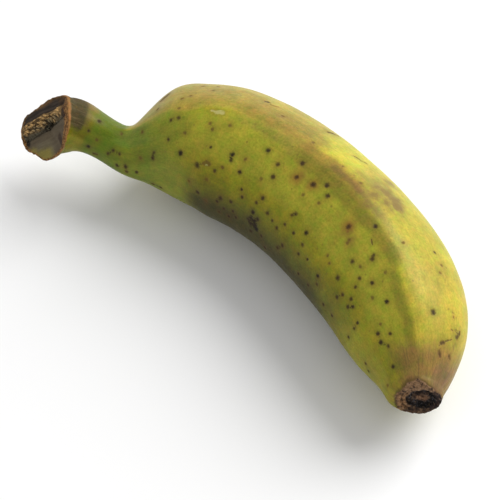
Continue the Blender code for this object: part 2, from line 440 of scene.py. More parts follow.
def noiseAt(points, size, offset=0.0, stretch=(1, 1, 1)):
    # smooth noise from -1 to 1 at points in mm, with waves of about that size
    scaled = points / size / np.array(stretch) + offset
    return np.array([noise.noise(Vector(point)) for point in scaled])


def smooth(value, start, stop):
    # 0 up to start, 1 from stop on, with a soft step between them
    t = np.clip((value - start) / (stop - start), 0, 1)
    return t * t * (3 - 2 * t)


def windowAlong(values, start, stop, softness):
    away = np.abs(values - (start + stop) / 2)
    return 1 - smooth(away, (stop - start) / 2 - softness, (stop - start) / 2 + softness)


def windowRound(values, start, stop, softness):
    middle = (start + stop) / 2
    away = np.abs((values - middle + 180) % 360 - 180)
    return 1 - smooth(away, (stop - start) / 2 - softness, (stop - start) / 2 + softness)


def normalsOf(mesh):
    normals = np.empty(len(mesh.vertices) * 3)
    mesh.vertices.foreach_get("normal", normals)
    return normals.reshape(-1, 3)


def faceCoordinates():
    # across and along the fibres of the cut, for every point of the fruit
    middle, spokes, outward = endFrame(0.0, -1)
    facing = unit(spokes.T @ np.cos(allRound - math.radians(cut["fibresFacing"])))
    sideways = np.cross(outward, facing)
    offset = places - shift - middle
    return offset @ facing, offset @ sideways


# the fruit laid out straight, which is what the patterns of the peel follow
laidOut = np.stack([plain[:, 0], plain[:, 1], height], axis=1)
across, along = faceCoordinates()
leaning = across - face["fibreLean"] * along
fibreLine = leaning - face["fibreMiddle"]
fibreWidth = face["fibreHalfWidth"] - face["fibreTaper"] * (face["fibreThickEnd"] - along)
pitDistance = np.hypot(across - face["pit"][0], along - face["pit"][1])


def beforeScar(distances):
    # from 0 to 1 between two distances before the scar
    return smooth(height, skinLength - distances[0], skinLength - distances[1])


def carveSkin():
    longWaves = (1, 1, relief["swellStretch"])
    rise = relief["swellHeight"] * noiseAt(laidOut, relief["swellSize"], 3.1, longWaves)
    rise += relief["dentHeight"] * noiseAt(laidOut, relief["dentSize"], 9.4)
    rise *= smooth(height, *relief["smoothNeck"]) * (1 - beforeScar(relief["smoothTip"]))
    wrinkles = noiseAt(laidOut, relief["wrinkleSize"], 5.7, (1, 1, relief["wrinkleStretch"]))
    onCollar = 1 - smooth(height, relief["wrinklesFull"], relief["collarLength"])
    rise += relief["wrinkleHeight"] * wrinkles * onCollar
    wrinkles = noiseAt(laidOut, relief["tipWrinkleSize"], 8.2, (1, 1, relief["tipWrinkleStretch"]))
    rise += relief["tipWrinkleHeight"] * beforeScar(relief["tipWrinkles"]) * wrinkles
    rag = noiseAt(places, relief["ragSize"], 2.2)
    rise += relief["ragHeight"] * rag * (1 - smooth(np.abs(height), *relief["ragReach"]))
    return np.where(onCut | onScar, 0, rise)


def setAttribute(name, values):
    isNumber = values.ndim == 1
    kind = "FLOAT" if isNumber else "FLOAT_VECTOR"
    attribute = banana.data.attributes.new(name, kind, "POINT")
    field = "value" if isNumber else "vector"
    attribute.data.foreach_set(field, values.ravel().astype(np.float32))


def crumbsAt(points, size):
    # rounded crumbs of about that size, 1 on top and 0 in the gaps between them
    nearest = [noise.voronoi(Vector(point))[0][:2] for point in points / size]
    first, second = np.transpose(nearest)
    return smooth(second - first, 0.03, 0.5)


def carveCut():
    onBundle = np.exp(-((fibreLine / fibreWidth) ** 6)) * smooth(along, *face["fibreThinEnd"])
    rise = onBundle * (face["fibreHeight"] + face["crumbHeight"] * (crumbs - 0.5))
    fromSplit = (leaning - face["splitMiddle"]) / face["splitHalfWidth"]
    rise -= face["splitDepth"] * np.exp(-(fromSplit**2))
    rise -= face["pitDepth"] * np.exp(-((pitDistance / face["pitRadius"]) ** 2))
    stray = 1 - smooth(np.abs(leaning - face["strayMiddle"]), *face["strayReach"])
    rise += face["strayHeight"] * (crumbs - 0.5) * stray
    flat = np.stack([across, 0 * across, along], axis=1)
    layers = noiseAt(flat, face["layerSize"], 6.6, (1, 1, face["layerStretch"]))
    rise += face["layerHeight"] * layers * smooth(fibreLine, *face["layerStart"])
    # the rim stays whole: heights end close to it, and depths earlier
    rise = np.where(rise > 0, rise * (1 - endShare**8), rise * (1 - endShare**3))
    return np.where(onCut, rise, 0)


def carveScar():
    rough = noiseAt(places, scarRelief["roughSize"], 11.0)
    fine = noiseAt(places, scarRelief["fineSize"], 12.0)
    rise = scarRelief["roughHeight"] * rough + scarRelief["fineHeight"] * fine
    rise *= smooth(1 - scarReach, 0, 0.15)
    # dried ridges down the side towards the hollow, and a low step where the scar starts
    outwardAt = scarShare + scarRelief["combWander"] * rough
    combed = np.sin(2 * math.pi * outwardAt / scarRelief["combSpacing"])
    side = windowRound(degrees, *scarRelief["combRound"])
    side = side * windowAlong(scarShare, *scarRelief["combReach"])
    rise += scarRelief["combHeight"] * combed * side
    step = scarRelief["stepHeight"] * (1 - smooth(scarReach, *scarRelief["stepFall"]))
    rise += step * smooth(scarReach, *scarRelief["stepRise"])
    # painted shade in the grooves between the combed ridges
    setAttribute("grooveShade", np.clip(-combed, 0, 1) * side)
    return np.where(onScar, rise, 0)


crumbs = np.zeros_like(height)
crumbPlaces = np.stack([across, along / face["crumbStretch"], 0 * along], axis=1)
crumbs[onCut] = crumbsAt(crumbPlaces[onCut], face["crumbSize"])
# distance from the middle of the scar over the distance to its ragged outline
outline = np.interp(degrees, *np.transpose(scar["outline"]), period=360)
outline += scarRelief["outlineWander"] * noiseAt(places, scarRelief["outlineSize"], 41.0)
peelBefore = np.where(onSkin, (skinLength - height) / scarRelief["peelReach"], 0)
scarReach = (scarShare + peelBefore) / outline
carved = carveSkin() + carveCut() + carveScar()
places = places + normalsOf(banana.data) * carved[:, None]
places[:, 2] = np.maximum(places[:, 2], cadBox[0].z / mm)
writePlaces(banana.data, places)
print("relief carved")


# Camera of the picture: angles in degrees, lengths in mm, focal length in pixels.
view = {
    "azimuth": 49.5,
    "elevation": 54.0,
    "roll": 6.0,
    "target": (0.0, 0.0, 20.0),  # before the fruit is set down
    "distance": 520.0,
    "focalPixels": 1872.0,
    "framePixels": 500.0,
    "sensor": 36.0,
}


def placeCamera():
    target = (np.array(view["target"]) + shift) * mm
    turn = (
        Matrix.Rotation(math.radians(view["azimuth"]), 4, "Z")
        @ Matrix.Rotation(math.radians(90 - view["elevation"]), 4, "X")
        @ Matrix.Rotation(math.radians(-view["roll"]), 4, "Z")
    )
    back = Matrix.Translation((0, 0, view["distance"] * mm))
    bpy.ops.object.camera_add()
    camera = bpy.context.object
    camera.name = "camera"
    camera.matrix_world = Matrix.Translation(target) @ turn @ back
    camera.data.sensor_width = view["sensor"]
    camera.data.lens = view["focalPixels"] / view["framePixels"] * view["sensor"]
    camera.data.clip_start = 0.01
    bpy.context.scene.camera = camera
    return camera


camera = placeCamera()


# Colour zones of the peel, laid over each other in this order. Each is a soft window
# along the fruit, in mm behind the cut, and round it, in degrees.
peelZones = {
    # colour, from, to, softness along, from, to, softness round, strength
    "lime": ("#a29f2f", 40, 150, 16, 90, 134, 14, 0.9),
    "flank": ("#74710b", 36, 136, 14, 146, 330, 24, 0.95),
    # the lower flank darker: partly its own olive colour, partly painted shade
    "oliveFlankAndShade": ("#494a09", 46, 124, 14, 158, 300, 16, 0.8),
    # painted shade along the lower edge of the flank
    "flankEdgeShade": ("#38330a", 44, 120, 14, 172, 208, 9, 0.85),
    "shoulder": ("#848d2c", 22, 46, 9, 70, 240, 20, 0.8),
    "neck": ("#68660d", -20, 14, 5, -200, 200, 1, 0.95),
    "neckBack": ("#806730", 3, 16, 3, 10, 68, 10, 0.8),
    "neckGreen": ("#57680f", 11, 24.5, 4, -200, 200, 1, 0.95),
    "blueGreen": ("#668232", 20, 34, 5, 88, 128, 9, 0.75),
    "neckUnder": ("#6c7f20", 11, 25, 4, 118, 200, 14, 0.65),
    "shoulderLow": ("#667922", 20, 37, 5, 124, 210, 12, 0.7),
    "ripe": ("#ada430", 28, 132, 3, -38, 87, 4, 1.0),
    "ripeEnd": ("#b0a232", 126, 180, 4, -38, 91, 4, 1.0),
    "brightRipe": ("#b9b232", 80, 93, 4, 10, 72, 6, 0.9),
    "duller": ("#978837", 94, 104, 3, 36, 80, 7, 0.65),
    "warmRipe": ("#a08a35", 108, 150, 6, 36, 86, 10, 0.45),
    "tan": ("#a4943a", 25, 81, 4, -10, 88, 5, 0.9),
    "tanRidge": ("#988630", 40, 81, 5, 50, 87, 7, 0.85),
    "tanDark": ("#8a772c", 59, 85, 4, 57, 87, 5, 0.75),
    # painted shade on the lee side of the ridge, below the tan top
    "ridgeLeeShade": ("#7a7034", 60, 84, 6, 86, 98, 4, 0.7),
    "tanPatch": ("#958636", 99, 113, 5, 40, 84, 9, 0.6),
    # painted shade on the side of the ridge, widening the ridge shadow
    "ridgeSideShade": ("#86782f", 106, 120, 5, 76, 86, 4, 0.75),
    "tanStreak": ("#85692a", 78, 106, 5, 74.5, 91, 4, 0.8),
    "brownStreak": ("#6f562a", 89, 107, 4, 78.5, 85, 3, 0.8),
    # painted shade along the ridge, and its continuation towards the tip
    "ridgeShadow": ("#6f6722", 80, 126, 6, 85, 98, 4, 0.8),
    "ridgeShadowEnd": ("#6f6722", 124, 152, 5, 90, 101, 4, 0.7),
    # darker band beside the ridge: partly its own green, partly painted shade of the groove
    "valleyGreenAndShade": ("#8b8528", 56, 128, 8, 82, 106, 7, 0.5),
    "tip": ("#886c39", 147, 180, 4, -60, 122, 22, 0.9),
    "tipBack": ("#6e5640", 150, 180, 3, 10, 66, 14, 0.7),
    "tipShade": ("#6b6425", 143, 180, 4, 104, 300, 20, 0.5),
    "neckLow": ("#98942f", -10, 12, 4, 146, 220, 12, 0.7),
    "collarFringe": ("#6d5a2c", -10, 9.6, 2.2, -20, 122, 16, 0.75),
    "collar": ("#433b20", -10, 7.2, 1.9, -20, 132, 14, 0.97),
    "lip": ("#94683a", -10, 1.0, 0.5, -200, 200, 1, 1.0),
}
# The same round the scar, in shares of the way to its outline.
peelEndZones = {
    # colour, from, to, softness, strength
    "scarHalo": ("#755a36", 0, 1.26, 0.14, 0.5),
    "scarEdge": ("#49361f", 0, 1.06, 0.06, 0.75),
}

# How the windows wander, in mm and degrees.
wander = {
    "mm": 3.0,
    "degrees": 5.0,
    "size": 13.0,
    "fineMm": 0.9,
    "fineDegrees": 2.0,
    "fineSize": 3.5,
    "calmBelow": 5,  # windows with an edge softer than this wander in full
}

wanderMm = wander["mm"] * noiseAt(laidOut, wander["size"], 21.0)
wanderMm += wander["fineMm"] * noiseAt(laidOut, wander["fineSize"], 22.0)
wanderDegrees = wander["degrees"] * noiseAt(laidOut, wander["size"], 23.0)
wanderDegrees += wander["fineDegrees"] * noiseAt(laidOut, wander["fineSize"], 24.0)


def paintZones():
    for name, zone in peelZones.items():
        colour, start, stop, soft, startRound, stopRound, softRound, strength = zone
        # narrow windows wander less, so that they stay whole
        alongAt = height + min(1, soft / wander["calmBelow"]) * wanderMm
        roundAt = degrees + min(1, softRound / wander["calmBelow"]) * wanderDegrees
        mask = windowAlong(alongAt, start, stop, soft)
        mask = mask * windowRound(roundAt, startRound, stopRound, softRound)
        setAttribute(name, strength * mask)
    for name, (colour, start, stop, soft, strength) in peelEndZones.items():
        setAttribute(name, strength * windowAlong(scarReach, start, stop, soft))


# Colour zones of the cut face, in mm: windows square to the leaning fibres and along them.
cutZones = {
    # colour, from, to, softness across, from, to, softness along, strength
    "darkLayers": ("#4c443c", 4.9, 8.0, 0.8, -9, 14, 2, 0.8),
    "brownLayers": ("#7d5f3e", 7.6, 13, 0.8, -12, 14, 2, 0.8),
    "brownCorner": ("#5d452c", 3.6, 13, 0.8, -14, -5.4, 1.2, 0.8),
    "facet": ("#685c49", -14, 0.3, 0.5, -14, 14, 1, 0.95),
    "paleFacet": ("#7a7058", -7.5, -2.2, 1.5, 0.5, 9, 2.5, 0.8),
    "oliveFoot": ("#968a44", -14, -4.4, 1.8, 2.4, 15, 2.2, 0.9),
    "oliveLeft": ("#968a44", -14, -2.6, 1.2, 7.5, 15, 1.6, 0.9),
    "innerShadow": ("#3a2a20", -9, -3.6, 1.2, -5.2, -2.2, 1.0, 0.85),
    "bundle": ("#e9bd7c", 1.1, 5.1, 0.5, -7.0, 13, 1.5, 1.0),
    # the split and the pit at its end: partly their own dark colour, partly painted shade
    "splitDarkAndShade": ("#4c4436", -0.3, 1.3, 0.4, -7.0, 13, 1.5, 0.95),
    "splitEndDarkAndShade": ("#16130f", -1.8, 2.6, 0.8, 9.6, 15, 0.8, 0.95),
}

# Colour zones of the flower scar: windows in shares of its foot's radius, and round it in degrees.
scarZones = {
    # colour, from, to, softness outward, from, to, softness round, strength
    "scarTop": ("#8d6c4c", 0.58, 1.3, 0.07, 44, 140, 14, 0.9),
    "scarLeft": ("#9b744c", 0.42, 1.3, 0.06, 134, 232, 14, 0.9),
    "scarLower": ("#4e3826", 0.55, 1.3, 0.05, 226, 300, 10, 0.9),
    "scarRight": ("#2c1c17", 0.50, 1.3, 0.06, -66, 40, 12, 0.95),
    # the trench round the nub: partly its own dark colour, partly painted shade, deepest on its lower side
    "scarTrenchDarkAndShade": ("#1b1514", 0.29, 0.53, 0.05, -200, 200, 1, 0.92),
    "scarHollowShade": ("#070606", 0.27, 0.56, 0.05, 240, 380, 16, 0.97),
    "scarNub": ("#7a5436", -0.3, 0.2, 0.07, -200, 200, 1, 0.8),
    "scarRim": ("#120d0b", 0.91, 1.3, 0.03, 226, 340, 10, 0.95),
}


# How the windows of both ends wander: by how much, and the size of a wave in mm.
endWander = {"cutMm": 0.5, "cutSize": 2.0, "scar": 0.05, "scarSize": 1.4, "degrees": 8, "degreesSize": 2.5}


def paintEnds():
    leaningAt = leaning + endWander["cutMm"] * noiseAt(places, endWander["cutSize"], 31.0)
    for name, zone in cutZones.items():
        colour, start, stop, soft, startAlong, stopAlong, softAlong, strength = zone
        mask = windowAlong(leaningAt, start, stop, soft)
        mask = strength * mask * windowAlong(along, startAlong, stopAlong, softAlong)
        setAttribute(name, mask)
    outwardAt = scarShare + endWander["scar"] * noiseAt(places, endWander["scarSize"], 32.0)
    roundAt = degrees + endWander["degrees"] * noiseAt(places, endWander["degreesSize"], 33.0)
    for name, zone in scarZones.items():
        colour, start, stop, soft, startRound, stopRound, softRound, strength = zone
        mask = windowAlong(outwardAt, start, stop, soft)
        setAttribute(name, strength * (mask * windowRound(roundAt, startRound, stopRound, softRound)))
    setAttribute("cutPlace", np.stack([leaning, along, endShare], axis=1))
    setAttribute("crumbs", crumbs)


paintZones()
paintEnds()
# the patterns of the peel run round a straight fruit of the body's own radius
bodyRadius = 19
patternPlace = [bodyRadius * np.cos(angle), bodyRadius * np.sin(angle), height]
setAttribute("straight", np.stack(patternPlace, axis=1))
print("zones painted")


# Marks on the peel by their place in the picture, in pixels across and down. Radii in mm.
marks = {
    "large": {
        "radius": 0.78,
        "dark": 1.0,
        "halo": 0.45,
        "haloRadius": 1.4,
        "blush": 0.3,
        "places": (
            (180.6, 153), (197.2, 165.3), (232.4, 154.6), (306.2, 232.6), (433, 312.3), (327.6, 196),
        ),
    },
    "ringed": {
        "radius": 0.75,
        "dark": 0.9,
        "halo": 0.75,
        "haloRadius": 2.0,
        "blush": 0.85,
        "places": ((296.6, 177.2), (348.5, 226.6), (313, 184.8)),
    },
    "dark": {
        "radius": 0.64,
        "dark": 0.95,
        "halo": 0.5,
        "haloRadius": 1.2,
        "blush": 0.3,
        "places": (
            (268, 150.6), (352.4, 261.5), (372.2, 258.8), (372, 283), (386.7, 301.8), (197.6, 192),
            (217, 201.4), (242.2, 197), (262.7, 198.2), (267.4, 213), (337.6, 277.8), (317.9, 276),
            (375.4, 226.3), (380.9, 342.5), (377.8, 333.6), (88.4, 146.6), (99.3, 121.2), (154, 152.7),
            (152.7, 158), (302.4, 163.2), (326.8, 185.4), (239.7, 172), (277.6, 164.6),
            (282.2, 245.4), (277.6, 247.6), (272.9, 177), (220.6, 198.2), (125.6, 166.7),
        ),
    },
    "small": {
        "radius": 0.52,
        "dark": 0.85,
        "halo": 0.4,
        "haloRadius": 1.0,
        "blush": 0.3,
        "places": (
            (210.6, 147.2), (230.8, 160.3), (214.8, 170.8), (241.6, 189.5), (256.3, 202.7), (230.8, 201.8),
            (223.8, 208.4), (219.3, 211.8), (229, 216.3), (233, 211.2), (236, 217.3), (272.2, 220.5),
            (291.7, 215.3), (295.6, 213.9), (285, 224.3), (276.7, 228), (293.5, 233), (261.4, 235.8),
            (265.2, 247.7), (298.5, 253.7), (307.3, 259.3), (302.5, 244.6), (298.5, 273.6),
            (308.2, 285.1), (316.9, 284.1), (359.4, 278.4), (355.4, 287.2), (373.6, 254.8), (336.8, 297),
            (342.4, 294.6), (351.3, 298.8), (348, 307), (353, 306.7), (323.4, 304.3), (331.9, 315.5),
            (357.4, 323), (354.2, 328.5), (348.6, 337), (390.1, 333.9), (388.4, 346.3), (393, 366.7),
            (368.5, 371), (365.7, 363.5), (434.8, 252.6), (178.5, 117.8), (171, 120), (168.3, 139.5),
            (88.6, 130.7), (113.1, 150.6), (108.2, 153.6), (119.4, 154.2), (117.1, 165.4), (126.5, 171.6),
            (136.6, 172.3), (160.6, 187.3), (153, 184), (449, 356.6), (439.5, 353.7),
        ),
    },
    "cluster": {
        "radius": 0.7,
        "dark": 1.0,
        "halo": 0.8,
        "haloRadius": 1.3,
        "blush": 0.0,
        "places": (
            (253, 212.2), (251, 218), (254, 221), (257.5, 219), (250.5, 223.5), (255, 225), (248.5, 219.5),
            (251, 231), (256.3, 229),
        ),
    },
    "faint": {
        "radius": 0.52,
        "dark": 0.3,
        "halo": 0.3,
        "haloRadius": 1.3,
        "blush": 0.6,
        "places": (
            (203.3, 86.3), (218.3, 86.8), (213.2, 90.4), (157.7, 109.3), (178.9, 108.3), (190.6, 96),
            (182, 98.7), (212.3, 129.3), (210, 123.6), (229.9, 125.5), (184.8, 133.1), (282.7, 116.2),
            (313.2, 142.4), (245.2, 159.3), (261, 179), (222.5, 167.2), (303, 195), (318.5, 203.3),
            (205.9, 200.4), (189, 181), (206.5, 179.3), (360, 266.9), (385.4, 272.4), (327.6, 255.4),
            (329.4, 263.3), (372.4, 297.8), (380.4, 324), (387.8, 385.3), (342.7, 166.4), (360.9, 183),
            (441.5, 265.5), (440.2, 273), (403.3, 242.7), (96.6, 139.9), (121.6, 133.9), (142.1, 132.2),
            (140.4, 158.2), (349, 240), (347.5, 243), (206.5, 161.8), (209, 164),
        ),
    },
}

# Longer marks: from, to, half width in mm, darkness (below 0 is pale).
scratches = (
    ((441.0, 343.2), (443.4, 342.4), 0.55, 0.7),
    ((446.0, 341.4), (448.6, 340.2), 0.24, 0.45),
    ((449.8, 340.4), (451.8, 339.4), 0.2, 0.4),
    ((456.6, 337.6), (457.6, 336.6), 0.68, 0.7),
    ((459.4, 334.4), (459.6, 332.6), 0.46, 0.7),
    ((265.8, 101.6), (268.8, 102.4), 0.45, 0.9),
    ((270.5, 104.8), (279, 107.2), 0.18, 0.1),
    ((328, 132.2), (333, 133.6), 0.4, 0.75),
    ((334.5, 134.2), (338.5, 136.2), 0.28, 0.6),
    ((354.4, 156.4), (358.4, 158.6), 0.36, 0.45),
    ((360.4, 160.4), (361.2, 161), 0.2, 0.2),
    ((364.5, 162.4), (366.5, 163.4), 0.26, 0.25),
    ((371.4, 240), (372.2, 244.5), 0.22, 0.35),
    ((438.9, 350.5), (439.9, 356.8), 0.3, 0.45),
    ((449.4, 355), (449.8, 359.5), 0.28, 0.35),
    ((452.6, 312), (452.8, 313), 0.2, 0.1),
    ((453.6, 316.6), (453.4, 318), 0.24, 0.1),
    ((451.3, 329.6), (452.6, 330.4), 0.22, 0.1),
    ((455.6, 330.2), (456.4, 330.2), 0.22, 0.1),
    ((93.5, 153.4), (97.5, 154.4), 0.35, 0.6),
    ((211.8, 110.6), (217.4, 111.9), 0.34, -1.0),
    ((216.2, 112.6), (223.4, 113.4), 0.42, -1.0),
    ((219.6, 110.4), (223.8, 111.2), 0.2, -1.0),
    ((203.2, 163.2), (204.0, 164.6), 0.4, 0.15),
    ((205.2, 164.4), (206.2, 165.0), 0.22, -1.0),
    ((207.0, 162.4), (208.8, 164.8), 0.45, 0.15),
    ((161.8, 100.4), (168.2, 94.6), 0.8, 0.45),
)

# Brown stains with soft edges by their place in the picture: radius in mm, strength.
stains = (
    ((379, 188), 3.4, 0.5), ((387, 193), 3.6, 0.55), ((394, 200), 3.4, 0.7), ((397, 206), 2.6, 0.9),
    ((388, 203), 3.4, 0.55), ((376, 196), 3.6, 0.5), ((370, 204), 3.2, 0.5), ((373, 212), 2.8, 0.4),
    ((391, 184), 2.4, 0.5), ((352, 240), 2.0, 0.4), ((348, 231), 2.4, 0.35), ((303, 176), 2.2, 0.3),
)

# The same kinds of marks where the picture shows nothing: how many, and the seed of their places.
hiddenMarks = {
    "large": 14,
    "dark": 42,
    "small": 90,
    "faint": 60,
    "seed": 7,
    "facing": -0.05,  # cosine past which the skin faces away
    "fromCut": 8,  # mm kept clear at each end
    "fromScar": 4,
    "degreesPerMm": 3,  # round the body
}

# How much marks of a kind differ, as shares, and the halo of the longer marks.
markVariation = {"seenSize": (0.85, 1.15), "seenDark": (0.75, 1.0), "hiddenSize": (0.75, 1.2)}
scratchHalo = {"halo": 0.35, "spread": 3, "blush": 0.5}


def placeSeen(across, down):
    # point of the fruit that is seen at a pixel of the picture, in mm
    focal = view["focalPixels"]
    middle = view["framePixels"] / 2
    eye = camera.matrix_world.translation
    aim = Vector(((across - middle) / focal, (middle - down) / focal, -1))
    line = camera.matrix_world.to_3x3() @ aim
    hit, point, normal, index = banana.ray_cast(eye, line.normalized())
    if not hit:  # just outside the outline
        beside = eye + line * view["distance"] * mm
        hit, point, normal, index = banana.closest_point_on_mesh(beside)
    return np.array(point) / mm


def hiddenPlace(draw, facing):
    # A place on the peel that faces away from the camera. It is drawn as a height and an angle,
    # because Blender doesn't number a mesh's points alike in each run.
    while True:
        distance = draw.uniform(hiddenMarks["fromCut"], skinLength - hiddenMarks["fromScar"])
        turn = draw.uniform(0, 360)
        sideways = np.abs((degrees - turn + 180) % 360 - 180) / hiddenMarks["degreesPerMm"]
        index = np.argmin(sideways + np.abs(height - distance))
        if facing[index] < hiddenMarks["facing"]:
            return places[index]


def findMarks():
    found = []  # from, to, radius, darkness, halo, radius of the halo, share of it that blushes
    draw = np.random.default_rng(hiddenMarks["seed"])
    for kind in marks.values():
        halo = (kind["halo"], kind["haloRadius"], kind["blush"])
        for place in kind["places"]:
            point = placeSeen(*place)
            size = kind["radius"] * draw.uniform(*markVariation["seenSize"])
            dark = kind["dark"] * draw.uniform(*markVariation["seenDark"])
            found.append((point, point, size, dark, *halo))
    for start, stop, halfWidth, dark in scratches:
        halo = (scratchHalo["halo"], scratchHalo["spread"] * halfWidth, scratchHalo["blush"])
        found.append((placeSeen(*start), placeSeen(*stop), halfWidth, dark, *halo))
    eye = np.array(camera.matrix_world.translation) / mm
    facing = (unit(eye - places) * normalsOf(banana.data)).sum(axis=1)
    for name in ("large", "dark", "small", "faint"):
        kind = marks[name]
        halo = (kind["halo"], kind["haloRadius"], kind["blush"])
        for number in range(hiddenMarks[name]):
            point = hiddenPlace(draw, facing)
            size = kind["radius"] * draw.uniform(*markVariation["hiddenSize"])
            found.append((point, point, size, kind["dark"], *halo))
    return found


def paintMarks():
    # The offset to the nearest mark is kept for each point, so that the material draws
    # marks finer than the mesh.
    reach = 8.0  # mm: a mark paints nothing further off
    far = 1e3  # mm: stands for no mark near
    count = len(places)
    nearest = np.full(count, far)
    offset = np.zeros_like(places)
    radius = np.ones(count)
    dark = np.zeros(count)
    halo = np.zeros(count)
    blush = np.zeros(count)
    stain = np.zeros(count)
    for start, stop, size, darkness, haloStrength, haloRadius, blushes in findMarks():
        near = np.flatnonzero(np.abs(places - (start + stop) / 2).max(axis=1) < reach)
        line = stop - start
        share = np.clip((places[near] - start) @ line / max(line @ line, 1e-9), 0, 1)
        away = places[near] - start - share[:, None] * line
        distance = np.linalg.norm(away, axis=1)
        closer = distance - size < nearest[near]
        index = near[closer]
        nearest[index] = distance[closer] - size
        offset[index] = away[closer]
        radius[index] = size
        dark[index] = darkness
        glow = haloStrength * np.exp(-((distance / haloRadius) ** 2))
        halo[near] = np.maximum(halo[near], glow * (1 - blushes))
        blush[near] = np.maximum(blush[near], glow * blushes)
    for place, size, strength in stains:
        distance = np.linalg.norm(places - placeSeen(*place), axis=1)
        stain = np.maximum(stain, strength * np.exp(-((distance / size) ** 2)))
    setAttribute("stain", stain)
    setAttribute("markOffset", offset)
    setAttribute("markDistance", np.linalg.norm(offset, axis=1) + np.where(nearest == far, far, 0))
    setAttribute("markRadius", radius)
    setAttribute("markDark", dark)
    setAttribute("markHalo", halo)
    setAttribute("markBlush", blush)


paintMarks()
print("marks placed")


def linear(colour):
    # an sRGB hex colour as linear values
    parts = [int(colour[i : i + 2], 16) / 255 for i in (1, 3, 5)]
    return [c / 12.92 if c <= 0.04045 else ((c + 0.055) / 1.055) ** 2.4 for c in parts] + [1]


def addNode(tree, kind, inputs={}, output=0, **settings):
    # Inputs are values, outputs of other nodes, hex colours or names of what is painted on the fruit.
    node = tree.nodes.new("ShaderNode" + kind)
    for name, value in settings.items():
        setattr(node, name, value)
    for socket, value in inputs.items():
        if isinstance(value, str) and value.startswith("#"):
            value = linear(value)
        elif isinstance(value, str):
            value = addNode(tree, "Attribute", output="Fac", attribute_name=value)
        if isinstance(value, bpy.types.NodeSocket):
            tree.links.new(value, node.inputs[socket])
        else:
            node.inputs[socket].default_value = value
    return node.outputs[output]


def startMaterial(name, values):
    material = bpy.data.materials.new(name)
    material.use_nodes = True
    shader = material.node_tree.nodes["Principled BSDF"]
    shader.inputs["Roughness"].default_value = values["roughness"]
    shader.inputs["Specular IOR Level"].default_value = values["specular"]
    return material, material.node_tree, shader


def layZones(tree, zones, colour, breaks, raggedness):
    # the zones over each other, each with its edge broken up by noise
    swing = addNode(tree, "Math", {0: breaks, 1: 0.5}, operation="SUBTRACT")
    for name, zone in zones.items():
        ragged = addNode(tree, "Math", {0: swing, 1: raggedness, 2: name}, operation="MULTIPLY_ADD")
        reach = {"Value": ragged, "From Min": 0.12, "From Max": 0.92, "To Max": zone[-1]}
        cover = addNode(tree, "MapRange", reach, interpolation_type="SMOOTHSTEP")
        colour = addNode(tree, "Mix", {0: cover, 6: colour, 7: zone[0]}, 2, data_type="RGBA")
    return colour


# Banana peel, half ripe: a smooth waxy skin with a satin sheen, soft blotches of green and
# yellow, faint fibres along the fruit, freckles, and dark marks with a brown rim.
peel = {
    "green": "#97921f",
    "blotchMm": 6.0,
    "speckleMm": 0.65,
    "hueMm": 2.6,
    "fibreMm": 0.8,  # width of a fibre: wider than the real 0.3 mm, so that it shows
    "fibreStretch": 7.0,
    "freckleMm": 2.6,  # between freckles
    "freckle": "#6b5324",
    "markBrown": "#6e4f2a",
    "markBlack": "#1a1214",
    "markPale": "#c2bb7c",
    "markWobbleMm": 0.7,
    "markCore": 0.35,  # mm within which a mark is drawn from its exact offset
    "markDepth": -2.5,  # against the height of the pores
    "collarStreak": "#6c5d3c",
    "tipStreak": "#5a4630",
    "stain": "#7e682d",
    "halo": "#4c4420",
    "blush": "#8a4f26",
    "roughness": 0.42,
    "dryer": 0.3,  # roughness that marks, the collar and the tip add
    "specular": 0.22,
    "ior": 1.45,
    "poreMm": 0.5,
    "poreHeightMm": 0.03,
    "edgeBreakMm": 2.2,
}


